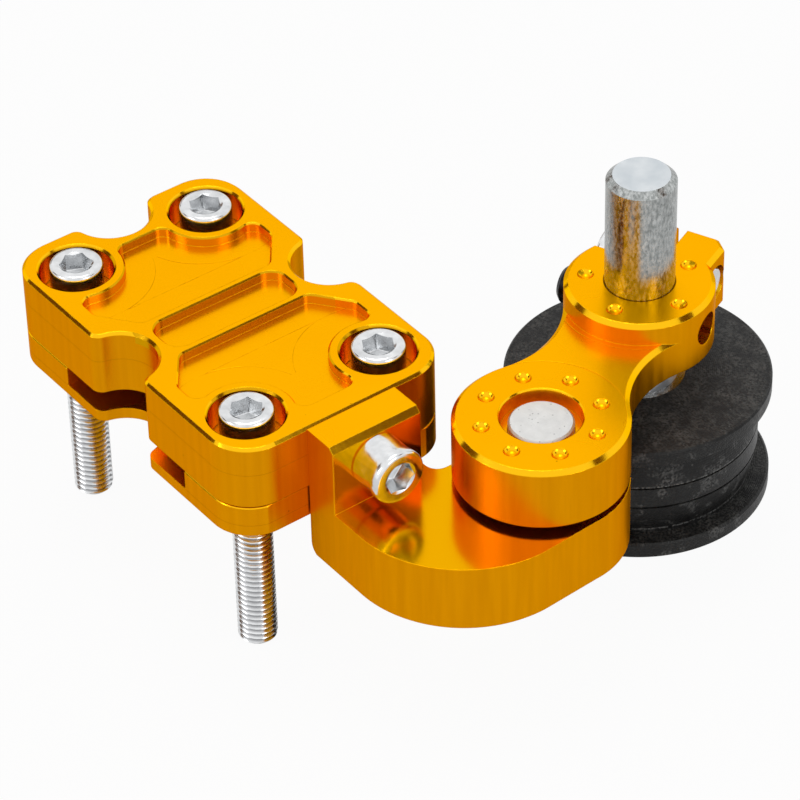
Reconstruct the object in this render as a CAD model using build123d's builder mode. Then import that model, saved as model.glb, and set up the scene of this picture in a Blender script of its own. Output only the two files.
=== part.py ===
from build123d import *
import os
from math import cos, radians, sin, sqrt

os.makedirs("parts", exist_ok=True)

# A bolt-on motorbike chain tensioner, in millimetres.
# The origin is the middle of the four clamp screws, on the face where the two clamp plates meet.
# +Z runs up the clamp screws towards their heads, +X points from the clamp to its bracket,
# and the swingarm lies along Y in the channel between the plates.

# Clamp plates
screw_spacing_x = 58.5
screw_spacing_y = 31.5
plate_end_margin = 10.9
plate_side_margin = 9.95
plate_corner_radius = 9.0
scallop_radius = 8.0
scallop_blend = 2.5
upper_plate_thickness = 14.5
lower_plate_thickness = 7.5
outer_edge_chamfer = 0.6
hidden_edge_chamfer = 0.3
channel_width = 41.0
channel_depth = 4.5
channel_shift_x = 1.0
jaw_end_clearance = 0.3

# Weight-saving pockets in the upper plate
pocket_depth = 2.2
pocket_rim_chamfer = 0.35
pocket_corner_radius = 2.2
slot_width = 9.5
slot_corner_radius = 3.5
rib_width = 1.7
land_round_counterbore = 1.8
land_round_scallop = 2.3
pocket_end_land = 5.6
pocket_shoulder_x = 14.3
pocket_side_land = 4.4

# Screws with a socket head
thread_radius = 4.0
clamp_head_radius = 5.4
clamp_head_height = 8.0
clamp_head_proud = 1.3
clamp_screw_length = 50.0
key_size = 6.0
key_depth = 4.0
key_chamfer = 0.4
head_edge_radius = 0.5
thread_end_chamfer = 0.8
clearance_hole_radius = 4.25
counterbore_radius = 7.5
counterbore_chamfer = 0.5
thread_clearance = 0.05
free_thread_radius = 3.84
free_thread_gap = 0.3

# Bracket: a block on the end of the clamp with an arm below it that carries the pivot
bracket_screw_y = 0.5
bracket_screw_z = 7.5
bracket_screw_length = 25.0
bracket_head_radius = 5.8
block_thickness = 8.2
block_low_y = -9.4
block_high_y = 11.4
block_top_drop = 0.3
block_chamfer = 1.2
arm_top_z = -1.8
arm_thickness = 15.0
arm_high_y = 13.2
arm_bend_radius = 25.0
arm_bend_centre_x = 56.5
arm_end_radius = 17.3
arm_end_angle = 50.0
arm_relief_clearance = 0.9
arm_inner_fillet = 3.0
arm_relief_fillet = 3.0
arm_heel_fillet = 3.0
arm_edge_chamfer = 0.4

# Pivot between the bracket and the link
pivot_x = 63.5
pivot_y = 28.9
pin_radius = 6.45
pin_drop = 1.4
pin_chamfer = 0.4
running_clearance = 0.05
bush_wall = 1.5
bush_flange_radius = 8.9
face_clearance = 0.1
pin_end_recess = 0.6
pivot_washer_thickness = 1.0
pivot_washer_radius = 9.8
circlip_thickness = 1.2
circlip_radius = 8.2
circlip_groove_depth = 0.55
circlip_gap_angle = 60.0
circlip_lug_radius = 1.5
circlip_lug_hole_radius = 0.6
arm_counterbore_radius = 10.4
arm_counterbore_depth = 3.4

# Link: the drum over the pivot, the web and the split boss that grips the roller's shaft
link_length = 41.2
link_angle = 113.5
link_thickness = 8.55
drum_radius = 17.3
drum_gap = 1.6
drum_drop = 4.8
boss_radius = 15.0
boss_rise = 4.75
waist_radius = 22.0
link_edge_chamfer = 0.9
drum_counterbore_radius = 8.1
drum_counterbore_depth = 3.4
drum_counterbore_chamfer = 0.3
dimple_radius = 1.65
dimple_depth = 1.0
drum_dimple_circle = 12.0
drum_dimple_count = 8
boss_dimple_circle = 10.8
boss_dimple_count = 5
ear_half_width = 10.1
ear_reach = 19.7
ear_corner_chamfer = 2.4
slit_width = 2.4
cross_hole_radius = 3.4
set_screw_radius = 4.0
set_screw_proud = 1.8
set_screw_key_size = 4.0
set_screw_key_depth = 3.5
pinch_screw_offset = 13.4
pinch_head_radius = 6.4
pinch_head_height = 7.0
pinch_head_clearance = 0.3
pinch_screw_recess = 1.2

# Torsion spring inside the drum
spring_wire_radius = 1.0
spring_coil_radius = 11.3
spring_pitch = 2.4
spring_turns = 3.25
spring_floor_gap = 0.3
spring_leg_length = 5.0
spring_leg_angle = 250.0
spring_pocket_inner_radius = 9.2
spring_pocket_outer_radius = 13.5
spring_pocket_roof = 3.6
spring_slot_depth = 1.8
spring_leg_clearance = 0.3
swing_back_angle = 34.0
swing_forward_angle = 28.0

# Roller, its shaft and its bearings
shaft_radius = 7.0
shaft_rise = 25.6
shaft_chamfer = 1.3
roller_top_z = -4.5
roller_height = 26.9
flange_radius = 26.9
flange_thickness = 3.6
core_shoulder_radius = 23.1
core_shoulder_height = 0.9
core_band_radius = 24.4
core_band_width = 4.4
core_groove = 0.45
flange_edge_chamfer = 0.4
bearing_bore_radius = 4.0
bearing_outer_radius = 9.5
bearing_width = 6.0
outer_ring_inner_radius = 8.0
inner_ring_outer_radius = 5.6
ball_radius = 1.4
ball_clearance = 0.1
ball_count = 7
cage_width = 1.0
cage_height = 3.8
shield_thickness = 0.35
shield_recess = 0.25
shield_clearance = 0.2
roller_shoulder_radius = 8.0
spacer_wall = 1.5
spacer_washer_radius = 5.5
spacer_washer_thickness = 1.5
roller_bolt_length = 45.0
roller_bolt_head_radius = 6.5
roller_bolt_head_height = 5.3
bolt_washer_thickness = 1.2
shaft_hole_spare = 2.0

# Places that follow from the sizes above
plate_length = screw_spacing_x + 2 * plate_end_margin
plate_width = screw_spacing_y + 2 * plate_side_margin
clamp_end_x = plate_length / 2
screw_seat_z = upper_plate_thickness + clamp_head_proud - clamp_head_height
block_front_x = clamp_end_x + block_thickness
arm_relief_radius = link_length - flange_radius - arm_relief_clearance
arm_relief_step = arm_end_radius - arm_relief_radius
block_top_z = upper_plate_thickness - block_top_drop
arm_bottom_z = arm_top_z - arm_thickness
drum_bottom_z = arm_top_z + drum_gap
link_bottom_z = drum_bottom_z + drum_drop
link_top_z = link_bottom_z + link_thickness
boss_top_z = link_top_z + boss_rise
boss_middle_z = (link_bottom_z + boss_top_z) / 2
boss_x = pivot_x + link_length * cos(radians(link_angle))
boss_y = pivot_y + link_length * sin(radians(link_angle))
roller_bottom_z = roller_top_z - roller_height
roller_middle_z = (roller_top_z + roller_bottom_z) / 2
shaft_top_z = boss_top_z + shaft_rise
shaft_bottom_z = roller_top_z + spacer_washer_thickness


def pivot_plane(z):
    """A level plane with its origin on the pivot and its X along the link."""
    along_link = (cos(radians(link_angle)), sin(radians(link_angle)), 0)
    return Plane(origin=(pivot_x, pivot_y, z), x_dir=along_link, z_dir=(0, 0, 1))


def boss_plane(z):
    """A level plane with its origin on the roller's axis and its X along the link."""
    along_link = (cos(radians(link_angle)), sin(radians(link_angle)), 0)
    return Plane(origin=(boss_x, boss_y, z), x_dir=along_link, z_dir=(0, 0, 1))


def socket_screw(seat, head_radius, head_height, shank_radius, length, key, depth):
    """A socket head screw: its head stands on the seat plane and its shank goes below it."""
    with BuildPart(seat) as screw:
        Cylinder(head_radius, head_height, align=(Align.CENTER, Align.CENTER, Align.MIN))
        fillet(screw.edges().sort_by(seat_axis(seat))[-1], head_edge_radius)
        Cylinder(shank_radius, length, align=(Align.CENTER, Align.CENTER, Align.MAX))
        chamfer(screw.edges().sort_by(seat_axis(seat))[0], thread_end_chamfer)
        with BuildSketch(seat.offset(head_height)):
            RegularPolygon(key / 2, 6, major_radius=False)
        extrude(amount=-depth, mode=Mode.SUBTRACT)
        with BuildSketch(seat.offset(head_height)):
            Circle(key / sqrt(3) + key_chamfer)
        extrude(amount=-key_chamfer * 2, taper=45, mode=Mode.SUBTRACT)
    return screw.part


def seat_axis(seat):
    """The line up through a screw, from its seat towards its head."""
    return Axis(seat.origin, seat.z_dir)


# The outline that both clamp plates share: a rounded rectangle with three round bites
with BuildSketch() as plate_outline:
    Rectangle(plate_length, plate_width)
    fillet(plate_outline.vertices(), plate_corner_radius)
    with Locations((0, plate_width / 2), (0, -plate_width / 2), (-plate_length / 2, 0)):
        Circle(scallop_radius, mode=Mode.SUBTRACT)
    bite_ends = plate_outline.vertices().filter_by(
        lambda v: min(abs(v.X), abs(v.Y)) < scallop_radius + 0.01
    )
    fillet(bite_ends, scallop_blend)


# Upper clamp plate: counterbored for the screws and pocketed to save weight
pocket_inner_x = slot_width / 2 + rib_width
pocket_side_y = plate_width / 2 - pocket_side_land
pocket_waist_y = plate_width / 2 - scallop_radius - land_round_scallop
slot_length = plate_width - 2 * scallop_radius - 2 * land_round_scallop
counterbore_land_radius = counterbore_radius + counterbore_chamfer + land_round_counterbore
pocket_far_x = {1: clamp_end_x - pocket_end_land, -1: clamp_end_x - scallop_radius - land_round_scallop}

with BuildPart() as upper_clamp_plate:
    with BuildSketch():
        add(plate_outline.sketch)
    extrude(amount=upper_plate_thickness)
    chamfer(upper_clamp_plate.faces().sort_by(Axis.Z)[-1].edges(), outer_edge_chamfer)
    chamfer(upper_clamp_plate.faces().sort_by(Axis.Z)[0].edges(), hidden_edge_chamfer)
    with BuildSketch(Plane.XY.offset(upper_plate_thickness)):
        with GridLocations(screw_spacing_x, screw_spacing_y, 2, 2):
            Circle(counterbore_radius)
    extrude(amount=screw_seat_z - upper_plate_thickness, mode=Mode.SUBTRACT)
    chamfer(upper_clamp_plate.edges(Select.LAST).group_by(Axis.Z)[-1], counterbore_chamfer)
    with BuildSketch():
        with GridLocations(screw_spacing_x, screw_spacing_y, 2, 2):
            Circle(clearance_hole_radius)
    extrude(amount=upper_plate_thickness, mode=Mode.SUBTRACT)
    with BuildSketch(Plane.XY.offset(upper_plate_thickness)) as pockets:
        for side in (1, -1):
            Polygon(
                (side * pocket_inner_x, -pocket_waist_y),
                (side * pocket_shoulder_x, -pocket_side_y),
                (side * pocket_far_x[side], -pocket_side_y),
                (side * pocket_far_x[side], pocket_side_y),
                (side * pocket_shoulder_x, pocket_side_y),
                (side * pocket_inner_x, pocket_waist_y),
                align=None,
            )
        with GridLocations(screw_spacing_x, screw_spacing_y, 2, 2):
            Circle(counterbore_land_radius, mode=Mode.SUBTRACT)
        fillet(pockets.vertices(), pocket_corner_radius)
        RectangleRounded(slot_width, slot_length, slot_corner_radius)
    extrude(amount=-pocket_depth, mode=Mode.SUBTRACT)
    chamfer(upper_clamp_plate.edges(Select.LAST).group_by(Axis.Z)[-1], pocket_rim_chamfer)
    with BuildSketch(Plane.YZ.offset(clamp_end_x)):
        with Locations((bracket_screw_y, bracket_screw_z)):
            Circle(thread_radius + thread_clearance)
    extrude(amount=block_thickness - bracket_screw_length - thread_end_chamfer, mode=Mode.SUBTRACT)

upper_clamp_plate.part.label = "upper_clamp_plate"
export_step(upper_clamp_plate.part, "parts/upper_clamp_plate.step")


# Lower clamp plate: tapped for the screws, with the channel that holds the swingarm
with BuildPart() as lower_clamp_plate:
    with BuildSketch():
        add(plate_outline.sketch)
    extrude(amount=-lower_plate_thickness)
    chamfer(lower_clamp_plate.faces().sort_by(Axis.Z)[0].edges(), outer_edge_chamfer)
    chamfer(lower_clamp_plate.faces().sort_by(Axis.Z)[-1].edges(), hidden_edge_chamfer)
    with BuildSketch():
        with Locations((channel_shift_x, 0)):
            Rectangle(channel_width, plate_width)
    extrude(amount=-channel_depth, mode=Mode.SUBTRACT)
    # The end is set back a little, so that the plate slides clear of the bracket
    with BuildSketch():
        with Locations((clamp_end_x - jaw_end_clearance, 0)):
            Rectangle(plate_end_margin, plate_width, align=(Align.MIN, Align.CENTER))
    extrude(amount=-lower_plate_thickness, mode=Mode.SUBTRACT)
    with BuildSketch():
        with GridLocations(screw_spacing_x, screw_spacing_y, 2, 2):
            Circle(thread_radius + thread_clearance)
    extrude(amount=-lower_plate_thickness, mode=Mode.SUBTRACT)

lower_clamp_plate.part.label = "lower_clamp_plate"
export_step(lower_clamp_plate.part, "parts/lower_clamp_plate.step")


# Four clamp screws, named by the corner that each one stands in
corners = {
    "front_inner": (1, -1),
    "front_outer": (1, 1),
    "rear_inner": (-1, -1),
    "rear_outer": (-1, 1),
}
free_thread_length = clamp_screw_length - screw_seat_z - lower_plate_thickness - free_thread_gap
for corner, (side_x, side_y) in corners.items():
    seat = Plane(origin=(side_x * screw_spacing_x / 2, side_y * screw_spacing_y / 2, screw_seat_z))
    with BuildPart() as clamp_screw:
        add(
            socket_screw(
                seat, clamp_head_radius, clamp_head_height, thread_radius, clamp_screw_length, key_size, key_depth
            )
        )
        # Below the plates the crests of the thread stand free, a shade smaller
        with BuildSketch(seat.offset(free_thread_length - clamp_screw_length)):
            Circle(thread_radius)
            Circle(free_thread_radius, mode=Mode.SUBTRACT)
        extrude(amount=-free_thread_length, mode=Mode.SUBTRACT)
    clamp_screw.part.label = f"clamp_screw_{corner}"
    export_step(clamp_screw.part, f"parts/clamp_screw_{corner}.step")


# Pivot bracket: the upright block and the arm that curves round under the drum
arm_low_y = block_low_y
bend_centre = (arm_bend_centre_x, arm_low_y + arm_bend_radius)
bend_mid = (
    bend_centre[0] + arm_bend_radius * sin(radians(45)),
    bend_centre[1] - arm_bend_radius * cos(radians(45)),
)
bush_radius = pin_radius + running_clearance + bush_wall

with BuildPart() as pivot_bracket:
    with BuildSketch(Plane.XY.offset(arm_bottom_z)) as arm_outline:
        with BuildLine():
            Line((clamp_end_x, arm_high_y), (clamp_end_x, arm_low_y))
            Line((clamp_end_x, arm_low_y), (arm_bend_centre_x, arm_low_y))
            ThreePointArc(
                (arm_bend_centre_x, arm_low_y),
                bend_mid,
                (arm_bend_centre_x + arm_bend_radius, bend_centre[1]),
            )
            Line((arm_bend_centre_x + arm_bend_radius, bend_centre[1]), (pivot_x + arm_end_radius, pivot_y))
            ThreePointArc(
                (pivot_x + arm_end_radius, pivot_y),
                (
                    pivot_x + arm_end_radius * cos(radians(arm_end_angle / 2)),
                    pivot_y + arm_end_radius * sin(radians(arm_end_angle / 2)),
                ),
                (
                    pivot_x + arm_end_radius * cos(radians(arm_end_angle)),
                    pivot_y + arm_end_radius * sin(radians(arm_end_angle)),
                ),
            )
            Line(
                (
                    pivot_x + arm_end_radius * cos(radians(arm_end_angle)),
                    pivot_y + arm_end_radius * sin(radians(arm_end_angle)),
                ),
                (pivot_x, pivot_y),
            )
            Line((pivot_x, pivot_y), (pivot_x - arm_relief_radius, pivot_y))
            Line((pivot_x - arm_relief_radius, pivot_y), (pivot_x - arm_relief_radius, arm_high_y))
            Line((pivot_x - arm_relief_radius, arm_high_y), (clamp_end_x, arm_high_y))
        make_face()
        with Locations((pivot_x, pivot_y)):
            Circle(arm_relief_radius)
        inner_corner = arm_outline.vertices().sort_by_distance((pivot_x - arm_relief_radius, arm_high_y))[0]
        fillet(inner_corner, arm_inner_fillet)
        relief_corner = arm_outline.vertices().sort_by_distance(
            (
                pivot_x + arm_relief_radius * cos(radians(arm_end_angle)),
                pivot_y + arm_relief_radius * sin(radians(arm_end_angle)),
            )
        )[0]
        fillet(relief_corner, min(arm_relief_fillet, 0.8 * arm_relief_step))
    extrude(amount=arm_thickness)
    chamfer(pivot_bracket.faces().sort_by(Axis.Z)[0].edges().filter_by(
        lambda e: e.center().X > clamp_end_x + arm_heel_fillet
    ), arm_edge_chamfer)
    heel = pivot_bracket.edges().filter_by(Axis.Y).group_by(Axis.Z)[0].sort_by(Axis.X)[0]
    fillet(heel, arm_heel_fillet)
    with BuildSketch(Plane.XY.offset(arm_top_z)):
        with Locations(((clamp_end_x + block_front_x) / 2, (block_low_y + block_high_y) / 2)):
            Rectangle(block_thickness, block_high_y - block_low_y)
    extrude(amount=block_top_z - arm_top_z)
    crest = pivot_bracket.edges().filter_by(Axis.Y).group_by(Axis.Z)[-1].sort_by(Axis.X)[-1]
    chamfer(crest, block_chamfer)
    with BuildSketch(Plane.YZ.offset(clamp_end_x)):
        with Locations((bracket_screw_y, bracket_screw_z)):
            Circle(thread_radius + running_clearance)
    extrude(amount=block_thickness, mode=Mode.SUBTRACT)
    with BuildSketch(pivot_plane(arm_top_z)):
        Circle(bush_radius)
    extrude(amount=-arm_thickness, mode=Mode.SUBTRACT)
    with BuildSketch(pivot_plane(arm_bottom_z)):
        Circle(arm_counterbore_radius)
    extrude(amount=arm_counterbore_depth, mode=Mode.SUBTRACT)
    with BuildSketch(Plane(origin=(pivot_x, pivot_y, arm_top_z))):
        with PolarLocations(spring_coil_radius, 1, spring_leg_angle):
            Circle(spring_wire_radius + spring_leg_clearance)
    extrude(amount=-spring_leg_length, mode=Mode.SUBTRACT)

pivot_bracket.part.label = "pivot_bracket"
export_step(pivot_bracket.part, "parts/pivot_bracket.step")


# Bracket screw: it holds the block to the end of the upper plate
bracket_seat = Plane(
    origin=(block_front_x, bracket_screw_y, bracket_screw_z), x_dir=(0, 0, 1), z_dir=(1, 0, 0)
)
bracket_screw = socket_screw(
    bracket_seat, bracket_head_radius, clamp_head_height, thread_radius, bracket_screw_length, key_size, key_depth
)
bracket_screw.label = "bracket_screw"
export_step(bracket_screw, "parts/bracket_screw.step")


# Flanged bush pressed into the arm, in which the pivot pin turns
flange_height = drum_gap - face_clearance
bush_length = arm_thickness - arm_counterbore_depth
with BuildPart() as pivot_bush:
    with BuildSketch(pivot_plane(arm_top_z)):
        Circle(bush_flange_radius)
    extrude(amount=flange_height)
    with BuildSketch(pivot_plane(arm_top_z)):
        Circle(bush_radius)
    extrude(amount=-bush_length)
    with BuildSketch(pivot_plane(arm_top_z - bush_length)):
        Circle(pin_radius + running_clearance)
    extrude(amount=bush_length + flange_height, mode=Mode.SUBTRACT)

pivot_bush.part.label = "pivot_bush"
export_step(pivot_bush.part, "parts/pivot_bush.step")


# Pivot pin, pressed into the drum and held under the arm by a washer and a circlip
circlip_bottom_z = arm_bottom_z + arm_counterbore_depth - pivot_washer_thickness - circlip_thickness
circlip_inner_radius = pin_radius - circlip_groove_depth
with BuildPart() as pivot_pin:
    with BuildSketch(pivot_plane(arm_bottom_z + pin_end_recess)):
        Circle(pin_radius)
    extrude(amount=link_top_z - pin_drop - arm_bottom_z - pin_end_recess)
    chamfer(pivot_pin.edges(), pin_chamfer)
    with BuildSketch(pivot_plane(circlip_bottom_z)):
        Circle(pin_radius)
        Circle(circlip_inner_radius, mode=Mode.SUBTRACT)
    extrude(amount=circlip_thickness, mode=Mode.SUBTRACT)

pivot_pin.part.label = "pivot_pin"
export_step(pivot_pin.part, "parts/pivot_pin.step")

with BuildPart() as pivot_washer:
    with BuildSketch(pivot_plane(circlip_bottom_z + circlip_thickness)):
        Circle(pivot_washer_radius)
        Circle(pin_radius + running_clearance, mode=Mode.SUBTRACT)
    extrude(amount=pivot_washer_thickness - face_clearance)

pivot_washer.part.label = "pivot_washer"
export_step(pivot_washer.part, "parts/pivot_washer.step")

circlip_lug_angle = circlip_gap_angle / 2 + 8
with BuildPart() as pivot_circlip:
    with BuildSketch(pivot_plane(circlip_bottom_z)):
        Circle(circlip_radius)
        with PolarLocations(circlip_radius - circlip_lug_radius / 2, 2, -circlip_lug_angle, 2 * circlip_lug_angle,
                            endpoint=True):
            Circle(circlip_lug_radius)
        Circle(circlip_inner_radius, mode=Mode.SUBTRACT)
        gap_half_width = 2 * circlip_radius * sin(radians(circlip_gap_angle / 4))
        Polygon(
            (0, 0),
            (2 * circlip_radius, -2 * gap_half_width),
            (2 * circlip_radius, 2 * gap_half_width),
            align=None,
            mode=Mode.SUBTRACT,
        )
    extrude(amount=circlip_thickness)

pivot_circlip.part.label = "pivot_circlip"
export_step(pivot_circlip.part, "parts/pivot_circlip.step")


# Torsion spring: it coils round the pin inside the drum, with one leg down in the arm
# and the other up in a curved slot in the roof of the drum's pocket
spring_base_z = arm_top_z + spring_floor_gap + spring_wire_radius
spring_top_z = spring_base_z + spring_pitch * spring_turns
spring_roof_z = link_top_z - spring_pocket_roof
spring_end_angle = spring_leg_angle + 360 * (spring_turns % 1)


def leg_plane(angle, z):
    """A level plane with its origin on the leg of the spring at this angle."""
    leg_x = pivot_x + spring_coil_radius * cos(radians(angle))
    leg_y = pivot_y + spring_coil_radius * sin(radians(angle))
    return Plane(origin=(leg_x, leg_y, z))


with BuildPart() as torsion_spring:
    coil_plane = Plane(
        origin=(pivot_x, pivot_y, spring_base_z),
        x_dir=(cos(radians(spring_leg_angle)), sin(radians(spring_leg_angle)), 0),
        z_dir=(0, 0, 1),
    )
    with BuildLine(coil_plane) as coil:
        Helix(spring_pitch, spring_pitch * spring_turns, spring_coil_radius)
    with BuildSketch(Plane(origin=coil.line @ 0, z_dir=coil.line % 0)):
        Circle(spring_wire_radius)
    sweep(path=coil.line, is_frenet=True)
    with BuildSketch(leg_plane(spring_leg_angle, spring_base_z)):
        Circle(spring_wire_radius)
    extrude(amount=-spring_leg_length + spring_floor_gap)
    with BuildSketch(leg_plane(spring_end_angle, spring_top_z)):
        Circle(spring_wire_radius)
    extrude(amount=spring_roof_z + spring_slot_depth - spring_leg_clearance - spring_top_z)
    with Locations(leg_plane(spring_leg_angle, spring_base_z), leg_plane(spring_end_angle, spring_top_z)):
        Sphere(spring_wire_radius)

torsion_spring.part.label = "torsion_spring"
export_step(torsion_spring.part, "parts/torsion_spring.step")


# Link: one piece that swings on the pin and grips the shaft in its split boss
waist_x = (
    (drum_radius + waist_radius) ** 2 - (boss_radius + waist_radius) ** 2 + link_length**2
) / (2 * link_length)
waist_y = sqrt((drum_radius + waist_radius) ** 2 - waist_x**2)
drum_tangent_x = waist_x * drum_radius / (drum_radius + waist_radius)
drum_tangent_y = waist_y * drum_radius / (drum_radius + waist_radius)
boss_tangent_x = link_length - (link_length - waist_x) * boss_radius / (boss_radius + waist_radius)
boss_tangent_y = waist_y * boss_radius / (boss_radius + waist_radius)
dimple_ball_radius = (dimple_radius**2 + dimple_depth**2) / (2 * dimple_depth)
bore_radius = shaft_radius + running_clearance
leg_path = CenterArc(
    (0, 0),
    spring_coil_radius,
    spring_end_angle - swing_forward_angle,
    swing_forward_angle + swing_back_angle,
)

with BuildPart() as link_web:
    with BuildSketch(pivot_plane(link_bottom_z)):
        with BuildLine():
            ThreePointArc(
                (drum_tangent_x, drum_tangent_y),
                (waist_x, waist_y - waist_radius),
                (boss_tangent_x, boss_tangent_y),
            )
            Line((boss_tangent_x, boss_tangent_y), (boss_tangent_x, -boss_tangent_y))
            ThreePointArc(
                (boss_tangent_x, -boss_tangent_y),
                (waist_x, waist_radius - waist_y),
                (drum_tangent_x, -drum_tangent_y),
            )
            ThreePointArc(
                (drum_tangent_x, -drum_tangent_y),
                (-drum_radius, 0),
                (drum_tangent_x, drum_tangent_y),
            )
        make_face()
    extrude(amount=link_thickness)
    chamfer(link_web.faces().sort_by(Axis.Z)[-1].edges(), link_edge_chamfer)
    with BuildSketch(pivot_plane(drum_bottom_z)):
        Circle(drum_radius)
    extrude(amount=drum_drop)

with BuildPart() as link_arm:
    with BuildSketch(boss_plane(link_bottom_z)):
        Circle(boss_radius)
        Polygon(
            (0, -ear_half_width),
            (ear_reach - ear_corner_chamfer, -ear_half_width),
            (ear_reach, ear_corner_chamfer - ear_half_width),
            (ear_reach, ear_half_width - ear_corner_chamfer),
            (ear_reach - ear_corner_chamfer, ear_half_width),
            (0, ear_half_width),
            align=None,
        )
        with Locations((pinch_screw_offset - pinch_head_radius - pinch_head_clearance, ear_half_width)):
            Rectangle(ear_reach, boss_radius, align=(Align.MIN, Align.MIN), mode=Mode.SUBTRACT)
    extrude(amount=boss_top_z - link_bottom_z)
    chamfer(link_arm.faces().sort_by(Axis.Z)[-1].edges(), link_edge_chamfer)
    add(link_web.part)
    with BuildSketch(boss_plane(link_bottom_z)):
        Circle(bore_radius)
        with Locations((ear_reach / 2, 0)):
            Rectangle(ear_reach, slit_width)
    extrude(amount=boss_top_z - link_bottom_z, mode=Mode.SUBTRACT)
    with BuildSketch(pivot_plane(drum_bottom_z)):
        Circle(pin_radius + running_clearance)
    extrude(amount=link_top_z - drum_bottom_z, mode=Mode.SUBTRACT)
    with BuildSketch(pivot_plane(link_top_z)):
        Circle(drum_counterbore_radius)
    extrude(amount=-drum_counterbore_depth, mode=Mode.SUBTRACT)
    chamfer(link_arm.edges(Select.LAST).group_by(Axis.Z)[-1], drum_counterbore_chamfer)
    with BuildSketch(pivot_plane(drum_bottom_z)):
        Circle(spring_pocket_outer_radius)
        Circle(spring_pocket_inner_radius, mode=Mode.SUBTRACT)
    extrude(amount=spring_roof_z - drum_bottom_z, mode=Mode.SUBTRACT)
    with BuildSketch(Plane(origin=(pivot_x, pivot_y, spring_roof_z))):
        SlotArc(leg_path, 2 * (spring_wire_radius + spring_leg_clearance))
    extrude(amount=spring_slot_depth, mode=Mode.SUBTRACT)
    with Locations(pivot_plane(link_top_z + dimple_ball_radius - dimple_depth)):
        with PolarLocations(drum_dimple_circle, drum_dimple_count):
            Sphere(dimple_ball_radius, mode=Mode.SUBTRACT)
    with Locations(boss_plane(boss_top_z + dimple_ball_radius - dimple_depth)):
        with PolarLocations(boss_dimple_circle, boss_dimple_count, 180):
            Sphere(dimple_ball_radius, mode=Mode.SUBTRACT)
    # The hole across the boss is tapped right through: its left end holds the set screw
    cross_plane = Plane(
        origin=(boss_x, boss_y, boss_middle_z), x_dir=boss_plane(0).x_dir, z_dir=boss_plane(0).y_dir
    )
    with BuildSketch(cross_plane):
        Circle(thread_radius + thread_clearance)
    extrude(amount=boss_radius, mode=Mode.SUBTRACT)
    with BuildSketch(cross_plane):
        Circle(cross_hole_radius)
    extrude(amount=-boss_radius, mode=Mode.SUBTRACT)
    # The pinch screw passes freely through the left ear and is threaded into the right one
    with BuildSketch(cross_plane):
        with Locations((pinch_screw_offset, 0)):
            Circle(clearance_hole_radius)
    extrude(amount=boss_radius, mode=Mode.SUBTRACT)
    with BuildSketch(cross_plane):
        with Locations((pinch_screw_offset, 0)):
            Circle(thread_radius + thread_clearance)
    extrude(amount=-boss_radius, mode=Mode.SUBTRACT)

link_arm.part.label = "link_arm"
export_step(link_arm.part, "parts/link_arm.step")


# Pinch screw that closes the slit of the boss, and the set screw that locks the shaft
pinch_x = boss_x + pinch_screw_offset * cross_plane.x_dir.X + ear_half_width * cross_plane.z_dir.X
pinch_y = boss_y + pinch_screw_offset * cross_plane.x_dir.Y + ear_half_width * cross_plane.z_dir.Y
pinch_seat = Plane(
    origin=(pinch_x, pinch_y, boss_middle_z), x_dir=cross_plane.x_dir, z_dir=cross_plane.z_dir
)
pinch_screw = socket_screw(
    pinch_seat, pinch_head_radius, pinch_head_height, thread_radius,
    2 * ear_half_width - pinch_screw_recess, key_size, key_depth
)
pinch_screw.label = "pinch_screw"
export_step(pinch_screw, "parts/pinch_screw.step")

set_screw_end = boss_radius + set_screw_proud
with BuildPart() as set_screw:
    with BuildSketch(cross_plane.offset(shaft_radius + face_clearance)):
        Circle(thread_radius)
    extrude(amount=set_screw_end - shaft_radius - face_clearance)
    chamfer(set_screw.edges(), thread_end_chamfer)
    with BuildSketch(cross_plane.offset(set_screw_end)):
        RegularPolygon(set_screw_key_size / 2, 6, major_radius=False)
    extrude(amount=-set_screw_key_depth, mode=Mode.SUBTRACT)

set_screw.part.label = "set_screw"
export_step(set_screw.part, "parts/set_screw.step")


# Shaft that slides in the boss, tapped at its foot for the roller's bolt
bolt_seat_z = roller_bottom_z - bolt_washer_thickness
shaft_hole_depth = bolt_seat_z + roller_bolt_length + shaft_hole_spare - shaft_bottom_z
with BuildPart() as roller_shaft:
    with BuildSketch(boss_plane(shaft_bottom_z)):
        Circle(shaft_radius)
    extrude(amount=shaft_top_z - shaft_bottom_z)
    chamfer(roller_shaft.edges().group_by(Axis.Z)[-1], shaft_chamfer)
    chamfer(roller_shaft.edges().group_by(Axis.Z)[0], outer_edge_chamfer)
    with BuildSketch(boss_plane(shaft_bottom_z)):
        Circle(thread_radius + thread_clearance)
    extrude(amount=shaft_hole_depth, mode=Mode.SUBTRACT)

roller_shaft.part.label = "roller_shaft"
export_step(roller_shaft.part, "parts/roller_shaft.step")

bolt_seat = Plane(origin=(boss_x, boss_y, bolt_seat_z), x_dir=boss_plane(0).x_dir, z_dir=(0, 0, -1))
roller_bolt = socket_screw(
    bolt_seat, roller_bolt_head_radius, roller_bolt_head_height, thread_radius,
    roller_bolt_length, key_size, key_depth
)
roller_bolt.label = "roller_bolt"
export_step(roller_bolt, "parts/roller_bolt.step")

with BuildPart() as bolt_washer:
    with BuildSketch(boss_plane(bolt_seat_z)):
        Circle(spacer_washer_radius)
        Circle(thread_radius + thread_clearance, mode=Mode.SUBTRACT)
    extrude(amount=bolt_washer_thickness)

bolt_washer.part.label = "bolt_washer"
export_step(bolt_washer.part, "parts/bolt_washer.step")

with BuildPart() as shaft_washer:
    with BuildSketch(boss_plane(roller_top_z)):
        Circle(spacer_washer_radius)
        Circle(thread_radius + thread_clearance, mode=Mode.SUBTRACT)
    extrude(amount=spacer_washer_thickness)

shaft_washer.part.label = "shaft_washer"
export_step(shaft_washer.part, "parts/shaft_washer.step")


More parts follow.
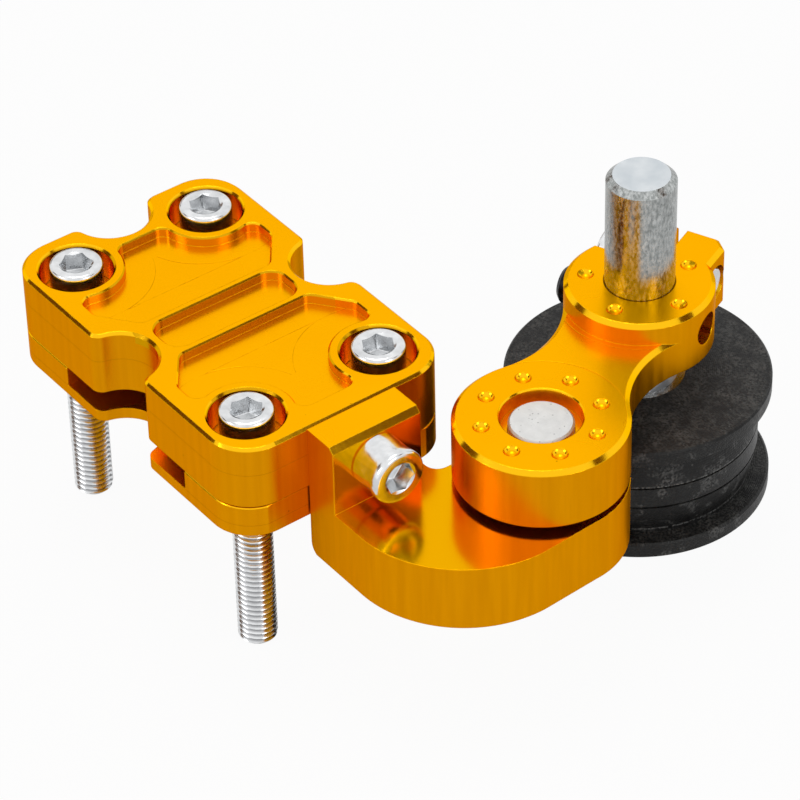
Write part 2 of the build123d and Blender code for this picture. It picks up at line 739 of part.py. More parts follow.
# Roller: flanged, with a crowned tread that the chain runs on and a bearing in each end
tread_top_z = roller_top_z - flange_thickness
half_band = core_band_width / 2
with BuildPart() as roller:
    with BuildSketch(Plane(origin=(boss_x, boss_y, roller_middle_z), x_dir=(1, 0, 0), z_dir=(0, -1, 0))):
        half_height = roller_height / 2
        half_tread = half_height - flange_thickness
        upper_half = [
            (0, half_height),
            (flange_radius, half_height),
            (flange_radius, half_tread),
            (core_shoulder_radius, half_tread),
            (core_shoulder_radius, half_tread - core_shoulder_height),
            (core_band_radius, half_band + core_groove),
            (core_band_radius - core_groove, half_band + core_groove),
            (core_band_radius - core_groove, half_band),
            (core_band_radius, half_band),
        ]
        lower_half = [(radius, -height) for radius, height in reversed(upper_half)]
        Polygon(*upper_half, *lower_half, align=None)
    revolve(axis=Axis((boss_x, boss_y, 0), (0, 0, 1)))
    rims = roller.edges().filter_by(
        lambda e: e.geom_type == GeomType.CIRCLE and abs(e.radius - flange_radius) < 0.001
    )
    chamfer(rims, flange_edge_chamfer)
    with BuildSketch(boss_plane(roller_bottom_z)):
        Circle(roller_shoulder_radius)
    extrude(amount=roller_height, mode=Mode.SUBTRACT)
    for bearing_base_z in (roller_bottom_z, roller_top_z - bearing_width):
        with BuildSketch(boss_plane(bearing_base_z)):
            Circle(bearing_outer_radius + running_clearance)
        extrude(amount=bearing_width, mode=Mode.SUBTRACT)

roller.part.label = "roller"
export_step(roller.part, "parts/roller.step")


# Two shielded ball bearings, held apart by a spacer tube on the bolt
ball_circle = (outer_ring_inner_radius + inner_ring_outer_radius) / 2
groove_radius = ball_radius + ball_clearance
for place, bearing_base_z in (("lower", roller_bottom_z), ("upper", roller_top_z - bearing_width)):
    bearing_middle_z = bearing_base_z + bearing_width / 2

    with BuildPart() as outer_ring:
        with BuildSketch(boss_plane(bearing_base_z)):
            Circle(bearing_outer_radius)
            Circle(outer_ring_inner_radius, mode=Mode.SUBTRACT)
        extrude(amount=bearing_width)
        with Locations(boss_plane(bearing_middle_z)):
            Torus(ball_circle, groove_radius, mode=Mode.SUBTRACT)
    outer_ring.part.label = f"{place}_bearing_outer_ring"
    export_step(outer_ring.part, f"parts/{place}_bearing_outer_ring.step")

    with BuildPart() as inner_ring:
        with BuildSketch(boss_plane(bearing_base_z)):
            Circle(inner_ring_outer_radius)
            Circle(bearing_bore_radius + running_clearance, mode=Mode.SUBTRACT)
        extrude(amount=bearing_width)
        with Locations(boss_plane(bearing_middle_z)):
            Torus(ball_circle, groove_radius, mode=Mode.SUBTRACT)
    inner_ring.part.label = f"{place}_bearing_inner_ring"
    export_step(inner_ring.part, f"parts/{place}_bearing_inner_ring.step")

    with BuildPart() as balls:
        with Locations(boss_plane(bearing_middle_z)):
            with PolarLocations(ball_circle, ball_count):
                Sphere(ball_radius)
    balls.part.label = f"{place}_bearing_balls"
    export_step(balls.part, f"parts/{place}_bearing_balls.step")

    with BuildPart() as cage:
        with BuildSketch(boss_plane(bearing_middle_z - cage_height / 2)):
            Circle(ball_circle + cage_width / 2)
            Circle(ball_circle - cage_width / 2, mode=Mode.SUBTRACT)
        extrude(amount=cage_height)
        with Locations(boss_plane(bearing_middle_z)):
            with PolarLocations(ball_circle, ball_count):
                Cylinder(groove_radius, 3 * cage_width, rotation=(0, 90, 0), mode=Mode.SUBTRACT)
    cage.part.label = f"{place}_bearing_cage"
    export_step(cage.part, f"parts/{place}_bearing_cage.step")

    shield_bases = {
        "bottom": bearing_base_z + shield_recess,
        "top": bearing_base_z + bearing_width - shield_recess - shield_thickness,
    }
    for face, shield_base_z in shield_bases.items():
        with BuildPart() as shield:
            with BuildSketch(boss_plane(shield_base_z)):
                Circle(outer_ring_inner_radius - running_clearance)
                Circle(inner_ring_outer_radius + shield_clearance, mode=Mode.SUBTRACT)
            extrude(amount=shield_thickness)
        shield.part.label = f"{place}_bearing_{face}_shield"
        export_step(shield.part, f"parts/{place}_bearing_{face}_shield.step")

with BuildPart() as bearing_spacer:
    with BuildSketch(boss_plane(roller_bottom_z + bearing_width)):
        Circle(bearing_bore_radius + spacer_wall)
        Circle(bearing_bore_radius + running_clearance, mode=Mode.SUBTRACT)
    extrude(amount=roller_height - 2 * bearing_width)

bearing_spacer.part.label = "bearing_spacer"
export_step(bearing_spacer.part, "parts/bearing_spacer.step")
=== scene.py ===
import math

import bmesh
import bpy
from mathutils import Matrix, Vector


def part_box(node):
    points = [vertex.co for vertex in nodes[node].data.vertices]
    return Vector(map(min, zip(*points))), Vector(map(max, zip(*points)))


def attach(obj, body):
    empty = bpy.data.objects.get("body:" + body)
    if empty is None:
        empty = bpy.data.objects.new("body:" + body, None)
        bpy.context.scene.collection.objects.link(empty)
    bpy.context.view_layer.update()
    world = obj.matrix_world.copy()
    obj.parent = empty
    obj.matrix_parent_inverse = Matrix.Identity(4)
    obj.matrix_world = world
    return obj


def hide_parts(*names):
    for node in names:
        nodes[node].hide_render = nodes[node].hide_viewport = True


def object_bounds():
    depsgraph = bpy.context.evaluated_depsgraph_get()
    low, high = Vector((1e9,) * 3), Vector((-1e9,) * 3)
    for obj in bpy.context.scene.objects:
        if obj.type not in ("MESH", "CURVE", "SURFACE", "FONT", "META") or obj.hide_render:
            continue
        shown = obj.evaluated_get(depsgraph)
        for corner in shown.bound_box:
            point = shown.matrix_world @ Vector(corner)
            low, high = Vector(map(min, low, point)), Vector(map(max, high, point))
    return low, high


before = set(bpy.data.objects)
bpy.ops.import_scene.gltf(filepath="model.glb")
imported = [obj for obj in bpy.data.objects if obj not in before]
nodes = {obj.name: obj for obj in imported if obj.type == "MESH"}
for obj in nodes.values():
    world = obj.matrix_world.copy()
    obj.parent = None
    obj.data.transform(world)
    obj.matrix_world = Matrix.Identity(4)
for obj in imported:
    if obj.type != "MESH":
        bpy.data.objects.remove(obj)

cad_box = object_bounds()

# Upper clamp plate: a thick aluminium plate, milled with three pockets, scalloped at its sides
# and anodised gold. The sides keep a satiny finish from the cutter and a darker gold, a painted shade;
# the chamfers are cut smooth and painted brighter, a painted highlight; the walls of the counterbores
# and pockets take a gold of their own, a painted shade; and the tool left a line round the side and
# thin curved lines in the floors of the pockets.

screw_corner = (0.02925, 0.01575)
counterbore_radius = 0.0077
pocket_floor = 0.0123
pocket_end = (0.030, 0.0188)
level_slack = 0.0003
chamfer_upright = 0.707

side_line_levels = (0.008, -0.0045)
side_line_width = 0.00009
plate_seam_level = 0.0
plate_seam_width = 0.00016
plate_seam_weight = 1.8

cutter_shift = 0.0009
cutter_arc_radius = 0.0162
cutter_arc_end_x = 0.0238
cutter_arc_width = 0.00010
cutter_line_x = 0.01307
cutter_line_end_y = 0.0136
cutter_line_width = 0.00008

# The sides' gold is darker than the faces' gold, a painted shade. Its spread follows the cutter's grain.
gold_satin_painted_shade = (0.78, 0.295, 0.0008), (0.86, 0.345, 0.0012)
gold_milled = (0.97, 0.425, 0.0012), (1.0, 0.46, 0.002)
# The chamfers' brighter gold is a painted highlight.
gold_chamfer_painted_highlight = (1.0, 0.54, 0.008)
# The walls' own gold: a painted shade in the counterbores and pockets.
gold_wall_painted_shade = (0.72, 0.36, 0.004)
# The dark gold of the cutter's lines, also used for the painted shadow in the boss's mouth.
gold_line_and_shadow = (0.35, 0.12, 0.001)
gold_pit = (0.30, 0.11, 0.002)
gold_at_a_slant = (1.0, 0.62, 0.12, 1.0)


def new_material(name):
    """An empty node material with its Principled shader, ready for this object's finishes."""
    material = bpy.data.materials.new(name)
    material.use_nodes = True
    tree = material.node_tree
    tree.nodes.clear()
    output = tree.nodes.new("ShaderNodeOutputMaterial")
    surface = tree.nodes.new("ShaderNodeBsdfPrincipled")
    tree.links.new(surface.outputs["BSDF"], output.inputs["Surface"])
    place = tree.nodes.new("ShaderNodeTexCoord")
    return material, tree, surface, place


def effect_group(name, inputs, outputs):
    """An empty node group with named inputs and outputs, for an effect that finishes share."""
    group = bpy.data.node_groups.new(name, "ShaderNodeTree")
    for socket_name, socket_type, default in inputs:
        socket = group.interface.new_socket(socket_name, in_out="INPUT", socket_type=socket_type)
        if default is not None:
            socket.default_value = default
    for socket_name in outputs:
        group.interface.new_socket(socket_name, in_out="OUTPUT", socket_type="NodeSocketFloat")
    return group, group.nodes.new("NodeGroupInput"), group.nodes.new("NodeGroupOutput")


def math_node(tree, operation, *values, clamp=False):
    """One step of arithmetic between sockets and numbers, in a shader tree or a geometry tree."""
    node = tree.nodes.new("ShaderNodeMath")
    node.operation = operation
    node.use_clamp = clamp
    for index, value in enumerate(values):
        if isinstance(value, (int, float)):
            node.inputs[index].default_value = value
        else:
            tree.links.new(value, node.inputs[index])
    return node.outputs[0]


def product(tree, first, *others):
    """The product of masks and numbers: a mask of where all of them hold."""
    for other in others:
        first = math_node(tree, "MULTIPLY", first, other)
    return first


def largest(tree, first, *others):
    """The largest of several masks: a mask of where any of them holds."""
    for other in others:
        first = math_node(tree, "MAXIMUM", first, other)
    return first


def inverse(tree, mask):
    return math_node(tree, "SUBTRACT", 1.0, mask)


def above(tree, value, level):
    return math_node(tree, "GREATER_THAN", value, level)


def below(tree, value, level):
    return math_node(tree, "LESS_THAN", value, level)


def near(tree, value, level, width):
    """One where the value is at the level, falling to nothing at this distance from it."""
    away = math_node(tree, "ABSOLUTE", math_node(tree, "SUBTRACT", value, level))
    return math_node(tree, "SUBTRACT", 1.0, math_node(tree, "DIVIDE", away, width), clamp=True)


def reach_of(tree, x, y, centre):
    """How far a point of the plane is from a centre."""
    x = math_node(tree, "SUBTRACT", x, centre[0])
    y = math_node(tree, "SUBTRACT", y, centre[1])
    squares = math_node(tree, "ADD", product(tree, x, x), product(tree, y, y))
    return math_node(tree, "SQRT", squares)


def split(tree, vector):
    """The X, Y and Z of a vector."""
    node = tree.nodes.new("ShaderNodeSeparateXYZ")
    tree.links.new(vector, node.inputs[0])
    return node.outputs


def map_range(tree, value, low, high, start=0.0, end=1.0):
    """Runs from low to high as the value runs from start to end, and stays there beyond them."""
    node = tree.nodes.new("ShaderNodeMapRange")
    tree.links.new(value, node.inputs["Value"])
    node.inputs["From Min"].default_value = start
    node.inputs["From Max"].default_value = end
    node.inputs["To Min"].default_value = low
    node.inputs["To Max"].default_value = high
    return node.outputs["Result"]


def stretched(tree, vector, scale):
    """The place in a pattern that is drawn out, where the scale of an axis is under one."""
    node = tree.nodes.new("ShaderNodeMapping")
    node.inputs["Scale"].default_value = scale
    tree.links.new(vector, node.inputs["Vector"])
    return node.outputs["Vector"]


def uneven_skin_group():
    """Uneven patches at two sizes: the cloudiness of a dyed, plated or turned skin."""
    group, entry, leave = effect_group(
        "uneven_skin",
        [
            ("Position", "NodeSocketVector", None), ("Patch Scale", "NodeSocketFloat", 60.0),
            ("Fine Scale", "NodeSocketFloat", 900.0), ("Contrast", "NodeSocketFloat", 1.0),
        ],
        ["Mask", "Fine"],
    )
    patch = group.nodes.new("ShaderNodeTexNoise")
    patch.inputs["Detail"].default_value = 2
    fine = group.nodes.new("ShaderNodeTexNoise")
    fine.inputs["Detail"].default_value = 1
    for noise, scale in ((patch, "Patch Scale"), (fine, "Fine Scale")):
        group.links.new(entry.outputs["Position"], noise.inputs["Vector"])
        group.links.new(entry.outputs[scale], noise.inputs["Scale"])
    centred = math_node(group, "SUBTRACT", patch.outputs["Fac"], 0.5)
    spread = product(group, centred, entry.outputs["Contrast"])
    group.links.new(math_node(group, "ADD", spread, 0.5, clamp=True), leave.inputs["Mask"])
    group.links.new(fine.outputs["Fac"], leave.inputs["Fine"])
    return group


def specks_group():
    """A few tiny round spots, wide apart: pits in a skin, or lint and dust on it."""
    group, entry, leave = effect_group(
        "specks",
        [
            ("Position", "NodeSocketVector", None), ("Scale", "NodeSocketFloat", 300.0),
            ("Size", "NodeSocketFloat", 0.12), ("Share", "NodeSocketFloat", 0.3),
        ],
        ["Mask"],
    )
    cells = group.nodes.new("ShaderNodeTexVoronoi")
    group.links.new(entry.outputs["Position"], cells.inputs["Vector"])
    group.links.new(entry.outputs["Scale"], cells.inputs["Scale"])
    outward = math_node(group, "DIVIDE", cells.outputs["Distance"], entry.outputs["Size"])
    inside = math_node(group, "SUBTRACT", 1.0, outward, clamp=True)
    chosen = below(group, split(group, cells.outputs["Color"])[0], entry.outputs["Share"])
    group.links.new(product(group, inside, chosen), leave.inputs["Mask"])
    return group


def face_kind_group():
    """Tells a part's level faces and its chamfers from its upright sides."""
    group, entry, leave = effect_group(
        "face_kind", [("Normal", "NodeSocketVector", None)], ["Level", "Chamfer"]
    )
    upright = math_node(group, "ABSOLUTE", split(group, entry.outputs["Normal"])[2])
    sloping = near(group, upright, chamfer_upright, 0.16)
    group.links.new(map_range(group, upright, 0.0, 1.0, 0.8, 0.97), leave.inputs["Level"])
    group.links.new(math_node(group, "MULTIPLY", sloping, 3.0, clamp=True), leave.inputs["Chamfer"])
    return group


uneven_skin = uneven_skin_group()
specks = specks_group()
face_kind = face_kind_group()


def place_group(tree, group, **values):
    """Puts a shared effect in a material's tree and gives it its inputs."""
    node = tree.nodes.new("ShaderNodeGroup")
    node.node_tree = group
    for name, value in values.items():
        socket = node.inputs[name.replace("_", " ")]
        if isinstance(value, (int, float)):
            socket.default_value = value
        else:
            tree.links.new(value, socket)
    return node.outputs


def mix_colour(tree, mask, first, second):
    """The first colour, and the second where the mask is one."""
    node = tree.nodes.new("ShaderNodeMix")
    node.data_type = "RGBA"
    tree.links.new(mask, node.inputs["Factor"])
    for index, value in ((6, first), (7, second)):
        if isinstance(value, tuple):
            node.inputs[index].default_value = (*value, 1.0)
        else:
            tree.links.new(value, node.inputs[index])
    return node.outputs[2]


def mix_value(tree, mask, first, second):
    """The first value, and the second where the mask is one."""
    node = tree.nodes.new("ShaderNodeMix")
    tree.links.new(mask, node.inputs["Factor"])
    for index, value in ((2, first), (3, second)):
        if isinstance(value, (int, float)):
            node.inputs[index].default_value = value
        else:
            tree.links.new(value, node.inputs[index])
    return node.outputs[0]


def bump(tree, height, strength, distance, normal=None):
    """The normal of a surface with this relief."""
    node = tree.nodes.new("ShaderNodeBump")
    if normal:
        tree.links.new(normal, node.inputs["Normal"])
    node.inputs["Strength"].default_value = strength
    node.inputs["Distance"].default_value = distance
    tree.links.new(height, node.inputs["Height"])
    return node.outputs["Normal"]


def gold_anodised(
    name, dark_marks=None, polished=None, painted_shade_gold=gold_wall_painted_shade, side_grain=(1.0, 1.0, 1.0)
):
    """Gold dye in aluminium: satiny sides in a darker gold as painted shade, faces milled fine, chamfers
    cut smooth and painted brighter as a highlight, masked faces with a near polish and a painted shade of
    their own, and the cutter's lines with any painted shadow given with them.
    """
    material, tree, surface, place = new_material(name)
    here = place.outputs["Object"]
    drawn = stretched(tree, here, side_grain)
    skin = place_group(
        tree, uneven_skin, Position=here, Patch_Scale=45.0, Fine_Scale=5200.0, Contrast=1.2
    )
    grain = place_group(
        tree, uneven_skin, Position=drawn, Patch_Scale=700.0, Fine_Scale=2600.0, Contrast=2.0
    )
    pits = place_group(tree, specks, Position=here, Scale=330.0, Size=0.075, Share=0.16)
    kind = place_group(tree, face_kind, Normal=place.outputs["Normal"])

    # The upright sides get a darker gold than the level faces: a painted shade.
    shaded_satin = mix_colour(tree, grain["Mask"], *gold_satin_painted_shade)
    milled = mix_colour(tree, skin["Mask"], *gold_milled)
    colour = mix_colour(tree, kind["Level"], shaded_satin, milled)
    # The chamfers take the brighter gold: a painted highlight. Their low roughness is real.
    colour = mix_colour(tree, kind["Chamfer"], colour, gold_chamfer_painted_highlight)
    satin_roughness = map_range(tree, grain["Mask"], 0.28, 0.38)
    milled_roughness = map_range(tree, skin["Mask"], 0.23, 0.32)
    roughness = mix_value(tree, kind["Level"], satin_roughness, milled_roughness)
    roughness = mix_value(tree, kind["Chamfer"], roughness, 0.12)
    height = product(tree, mix_value(tree, kind["Level"], grain["Mask"], skin["Fine"]), 0.35)
    if polished:
        polish_and_shade_mask = polished(tree, here, kind["Level"])
        # The masked faces take the gold given for them, a painted shade, and a real lower roughness.
        colour = mix_colour(tree, polish_and_shade_mask, colour, painted_shade_gold)
        roughness = mix_value(tree, polish_and_shade_mask, roughness, 0.15)
    if dark_marks:
        lines = dark_marks(tree, here, kind["Level"])
        height = math_node(tree, "SUBTRACT", height, product(tree, lines, 4.0))
        # The marks take a dark gold. For the link they include a painted shadow in the boss's mouth.
        colour = mix_colour(tree, product(tree, lines, 0.55), colour, gold_line_and_shadow)
    tree.links.new(mix_colour(tree, pits["Mask"], colour, gold_pit), surface.inputs["Base Color"])
    surface.inputs["Metallic"].default_value = 1.0
    surface.inputs["Specular Tint"].default_value = gold_at_a_slant
    tree.links.new(roughness, surface.inputs["Roughness"])

    broken_edge = tree.nodes.new("ShaderNodeBevel")
    broken_edge.samples = 4
    tree.links.new(map_range(tree, grain["Mask"], 0.00012, 0.00042), broken_edge.inputs["Radius"])
    relief = bump(tree, height, 0.4, 0.00002, broken_edge.outputs["Normal"])
    tree.links.new(relief, surface.inputs["Normal"])
    return material


def plate_cutter_marks(tree, here, level_faces):
    """The line round each plate's side, and where two passes met in the floors of the pockets."""
    x, y, z = split(tree, here)
    on_side = inverse(tree, level_faces)
    round_side = (near(tree, z, level, side_line_width) for level in side_line_levels)
    seam = product(tree, near(tree, z, plate_seam_level, plate_seam_width), plate_seam_weight)
    side_lines = product(tree, largest(tree, *round_side, seam), on_side)

    along = math_node(tree, "ABSOLUTE", math_node(tree, "ADD", x, cutter_shift))
    aside = math_node(tree, "ABSOLUTE", y)
    arcs = product(
        tree, near(tree, reach_of(tree, along, aside, screw_corner), cutter_arc_radius, cutter_arc_width),
        above(tree, along, cutter_line_x), below(tree, along, cutter_arc_end_x),
    )
    straight = product(
        tree, near(tree, along, cutter_line_x, cutter_line_width), below(tree, aside, cutter_line_end_y)
    )
    faded = tree.nodes.new("ShaderNodeTexNoise")
    faded.inputs["Scale"].default_value = 260.0
    tree.links.new(here, faded.inputs["Vector"])
    fading = map_range(tree, faded.outputs["Fac"], 0.25, 1.0, 0.38, 0.6)
    on_floor = product(tree, near(tree, z, pocket_floor, level_slack), level_faces)
    floor_lines = product(tree, largest(tree, arcs, straight), fading, on_floor)
    return largest(tree, side_lines, floor_lines)


def plate_polished_shaded_walls(tree, here, level_faces):
    """The walls of the counterbores and pockets, which a finishing pass left with a near polish, painted
    a gold of their own as shade.
    """
    x, y, z = split(tree, here)
    along = math_node(tree, "ABSOLUTE", x)
    aside = math_node(tree, "ABSOLUTE", y)
    bores = below(tree, reach_of(tree, along, aside, screw_corner), counterbore_radius)
    pockets = product(
        tree, below(tree, along, pocket_end[0]), below(tree, aside, pocket_end[1]),
        above(tree, z, pocket_floor),
    )
    return product(tree, largest(tree, bores, pockets), inverse(tree, level_faces))


def finish_node(node, material):
    """Gives a solid of the frame its finish, in every material slot that it has."""
    data = nodes[node].data
    if not data.materials:
        data.materials.append(material)
    for index in range(len(data.materials)):
        data.materials[index] = material


plate_gold = gold_anodised(
    "plate_gold", plate_cutter_marks, plate_polished_shaded_walls, side_grain=(1.0, 1.0, 0.04)
)
finish_node("upper_clamp_plate", plate_gold)


# Lower clamp plate: the thinner plate below, milled across its top with the channel that takes
# the swingarm, and anodised with the upper one so that the two match.

finish_node("lower_clamp_plate", plate_gold)


# Clamp screws: four M8 x 50 socket head cap screws of zinc-plated steel, forged and rolled, with
# a 6 mm hexagon. They pass down through the upper plate and are threaded to their tips.

screw_radius = 0.004
screw_pitch = 0.00125
screw_head_height = 0.008
thread_cut = 0.00068
thread_point = 0.0009
thread_flank = 1.3
crest_half = 0.15
rows_per_turn = 8
points_per_turn = 40
weld_distance = 0.00001
head_segments = 72
sharp_angle = math.radians(27)
socket_slope = 0.6
socket_lip = 0.0001
socket_corner = 0.0001
socket_cone = 0.55, 0.0002, 0.0005
head_foot = 0.0039
head_rounding = 0.0008
head_chamfer = 0.0003
rim_foot = 0.0026
rim_full = 0.0018
dark_up_to = 0.0033
bright_from = 0.00385
thread_roots_below = 0.0075
tip_clearance = 0.00001


def hexagon_reach(angle, half_width):
    """How far a hexagon's side is from its centre in this direction."""
    turned = (angle + math.pi / 6) % (math.pi / 3) - math.pi / 6
    return half_width / math.cos(turned)


def head_mesh(name, radius, height, key, depth, rim=0.0):
    """A cap head that stands on z = 0, with its socket open at the top and rounded edges."""
    half_key = key / 2
    lip = half_key / math.cos(math.pi / 6) + socket_lip
    side = radius - rim
    floor = height - depth
    cone_share, cone_drop, cone_tip = socket_cone
    rings = [
        ("round", head_foot, 0.0),
        ("round", side - head_chamfer, 0.0),
        ("round", side, head_chamfer),
        ("round", side, height - rim_foot),
        ("round", radius, height - rim_full),
    ]
    for turn in (math.pi / 8 * step for step in range(5)):
        inward = head_rounding * (1 - math.cos(turn))
        downward = head_rounding * (1 - math.sin(turn))
        rings.append(("round", radius - inward, height - downward))
    rings += [
        ("round", lip, height),
        ("mouth", half_key, height),
        ("key", half_key, floor + socket_corner),
        ("key", half_key - socket_corner, floor),
        ("key", half_key * cone_share, floor - cone_drop),
    ]
    build = bmesh.new()
    loops = []
    for kind, reach, level in rings:
        loop = []
        for step in range(head_segments):
            angle = 2 * math.pi * step / head_segments
            out = reach if kind == "round" else hexagon_reach(angle, reach)
            sunk = (lip - out) * socket_slope if kind == "mouth" else 0.0
            loop.append(build.verts.new((out * math.cos(angle), out * math.sin(angle), level - sunk)))
        loops.append(loop)
    for lower, upper in zip(loops, loops[1:]):
        for step in range(head_segments):
            after = (step + 1) % head_segments
            build.faces.new((lower[step], lower[after], upper[after], upper[step]))
    foot = build.verts.new((0, 0, 0))
    middle = build.verts.new((0, 0, floor - cone_drop - cone_tip))
    for step in range(head_segments):
        after = (step + 1) % head_segments
        build.faces.new((loops[0][after], loops[0][step], foot))
        build.faces.new((loops[-1][step], loops[-1][after], middle))
    mesh = bpy.data.meshes.new(name)
    build.to_mesh(mesh)
    build.free()
    return mesh


def thread_sheet(tree, entry):
    """A grid rolled up into a threaded shank, whose rows climb with the thread's crest and root."""
    def field(operation, *values, clamp=False):
        return math_node(tree, operation, *values, clamp=clamp)

    link = tree.links.new
    length, pitch, root = entry.outputs["Length"], entry.outputs["Pitch"], entry.outputs["Root"]
    radius = entry.outputs["Thread Radius"]
    whole_run = field("ADD", field("ADD", length, pitch), root)
    turns_in_rows = field("CEIL", field("DIVIDE", field("MULTIPLY", whole_run, rows_per_turn), pitch))
    row_count = field("ADD", turns_in_rows, 3.0)
    last_row = field("SUBTRACT", row_count, 1.0)
    sheet = tree.nodes.new("GeometryNodeMeshGrid")
    sheet.inputs["Size X"].default_value = 1.0
    sheet.inputs["Size Y"].default_value = 1.0
    sheet.inputs["Vertices X"].default_value = points_per_turn + 1
    link(row_count, sheet.inputs["Vertices Y"])
    across, upward, _ = split(tree, tree.nodes.new("GeometryNodeInputPosition").outputs[0])
    turn = field("ADD", across, 0.5)
    row = field("ROUND", field("MULTIPLY", field("ADD", upward, 0.5), last_row))

    # The end rows have no radius and close the shank. The others run down it, one pitch a turn
    row_turns = field("DIVIDE", field("SUBTRACT", row, 1.0), rows_per_turn)
    climb = field("SUBTRACT", field("ADD", row_turns, turn), 1.0)
    free_down = field("SUBTRACT", field("MULTIPLY", climb, pitch), root)
    down = field("MINIMUM", field("MAXIMUM", free_down, field("MULTIPLY", root, -1.0)), length)
    phase = field("FRACT", field("DIVIDE", row, rows_per_turn))
    ramp = field("MULTIPLY", field("ABSOLUTE", field("SUBTRACT", phase, 0.5)), 2.0)
    flank = field("SUBTRACT", field("MULTIPLY", ramp, thread_flank), crest_half, clamp=True)
    past_plain = field("SUBTRACT", down, entry.outputs["Plain Shank"])
    fade = field("DIVIDE", past_plain, pitch, clamp=True)
    cut = field("MULTIPLY", field("MULTIPLY", flank, fade), entry.outputs["Thread Depth"])
    threaded = field("SUBTRACT", radius, cut)
    point = field("ADD", field("SUBTRACT", radius, thread_point), field("SUBTRACT", length, down))
    before_end = field("LESS_THAN", row, field("SUBTRACT", last_row, 0.5))
    between = field("MULTIPLY", field("GREATER_THAN", row, 0.5), before_end)
    reach = field("MULTIPLY", field("MINIMUM", threaded, point), between)
    angle = field("MULTIPLY", turn, 2 * math.pi)
    joined = tree.nodes.new("ShaderNodeCombineXYZ")
    link(field("MULTIPLY", reach, field("COSINE", angle)), joined.inputs["X"])
    link(field("MULTIPLY", reach, field("SINE", angle)), joined.inputs["Y"])
    link(field("MULTIPLY", down, -1.0), joined.inputs["Z"])
    roll_up = tree.nodes.new("GeometryNodeSetPosition")
    link(sheet.outputs["Mesh"], roll_up.inputs["Geometry"])
    link(joined.outputs[0], roll_up.inputs["Position"])
    closed = tree.nodes.new("GeometryNodeMergeByDistance")
    closed.inputs["Distance"].default_value = weld_distance
    link(roll_up.outputs["Geometry"], closed.inputs["Geometry"])
    return closed.outputs["Geometry"]


def screw_tree():
    """Adds a threaded shank below a head and stands a copy at each corner of a rectangle."""
    tree = bpy.data.node_groups.new("cap_screws", "GeometryNodeTree")
    side = tree.interface
    side.new_socket("Head", in_out="INPUT", socket_type="NodeSocketGeometry")
    for name, value in (
        ("Thread Radius", screw_radius), ("Pitch", screw_pitch), ("Thread Depth", thread_cut),
        ("Length", 0.05), ("Plain Shank", 0.004), ("Root", 0.0004),
        ("Spacing X", 2 * screw_corner[0]), ("Spacing Y", 2 * screw_corner[1]),
    ):
        side.new_socket(name, in_out="INPUT", socket_type="NodeSocketFloat").default_value = value
    for name, value in (("Columns", 2), ("Rows", 2), ("Seed", 4)):
        side.new_socket(name, in_out="INPUT", socket_type="NodeSocketInt").default_value = value
    side.new_socket("Material", in_out="INPUT", socket_type="NodeSocketMaterial")
    side.new_socket("Screws", in_out="OUTPUT", socket_type="NodeSocketGeometry")
    entry = tree.nodes.new("NodeGroupInput")
    leave = tree.nodes.new("NodeGroupOutput")
    link = tree.links.new

    whole = tree.nodes.new("GeometryNodeJoinGeometry")
    link(thread_sheet(tree, entry), whole.inputs[0])
    link(entry.outputs["Head"], whole.inputs[0])
    corners = tree.nodes.new("GeometryNodeMeshGrid")
    link(entry.outputs["Spacing X"], corners.inputs["Size X"])
    link(entry.outputs["Spacing Y"], corners.inputs["Size Y"])
    link(entry.outputs["Columns"], corners.inputs["Vertices X"])
    link(entry.outputs["Rows"], corners.inputs["Vertices Y"])
    stand = tree.nodes.new("GeometryNodeInstanceOnPoints")
    link(corners.outputs["Mesh"], stand.inputs["Points"])
    link(whole.outputs[0], stand.inputs["Instance"])
    chance = tree.nodes.new("FunctionNodeRandomValue")
    chance.data_type = "FLOAT_VECTOR"
    chance.inputs["Min"].default_value = (0, 0, 0)
    chance.inputs["Max"].default_value = (0, 0, 2 * math.pi)
    link(entry.outputs["Seed"], chance.inputs["Seed"])
    link(chance.outputs["Value"], stand.inputs["Rotation"])
    real = tree.nodes.new("GeometryNodeRealizeInstances")
    link(stand.outputs["Instances"], real.inputs["Geometry"])
    smooth = tree.nodes.new("GeometryNodeSetShadeSmooth")
    link(real.outputs["Geometry"], smooth.inputs["Geometry"])
    paint = tree.nodes.new("GeometryNodeSetMaterial")
    link(smooth.outputs["Geometry"], paint.inputs["Geometry"])
    link(entry.outputs["Material"], paint.inputs["Material"])
    link(paint.outputs["Geometry"], leave.inputs["Screws"])
    return tree


cap_screws = screw_tree()


def set_input(modifier, name, value):
    """Sets an input of a Geometry Nodes modifier by the name that its socket shows."""
    for item in modifier.node_group.interface.items_tree:
        if item.item_type == "SOCKET" and item.in_out == "INPUT" and item.name == name:
            modifier[item.identifier] = value


def settle(piece):
    """Turns what a piece's modifiers make into its plain mesh."""
    seen_by = bpy.context.evaluated_depsgraph_get()
    made = bpy.data.meshes.new_from_object(piece.evaluated_get(seen_by))
    piece.modifiers.clear()
    piece.data = made


def seat_at(origin, direction, spin=0.0):
    """The matrix that lays z = 0 on a seat, with z along the way that the screw's head faces."""
    turned = Vector(direction).to_track_quat("Z", "Y").to_matrix().to_4x4()
    return Matrix.Translation(origin) @ turned @ Matrix.Rotation(spin, 4, "Z")


def make_screws(name, head, material, seat, **sizes):
    """Screws of one kind, with the seat of their heads laid on the plane of the matrix given."""
    piece = bpy.data.objects.new(name, head)
    bpy.context.collection.objects.link(piece)
    modifier = piece.modifiers.new("cap_screws", "NODES")
    modifier.node_group = cap_screws
    for key, value in sizes.items():
        set_input(modifier, key.replace("_", " "), value)
    set_input(modifier, "Material", material)
    settle(piece)
    piece.data.transform(seat)
    build = bmesh.new()
    build.from_mesh(piece.data)
    bmesh.ops.remove_doubles(build, verts=build.verts, dist=weld_distance / 2)
    bmesh.ops.recalc_face_normals(build, faces=build.faces)
    build.to_mesh(piece.data)
    build.free()
    piece.data.set_sharp_from_angle(angle=sharp_angle)
    return piece


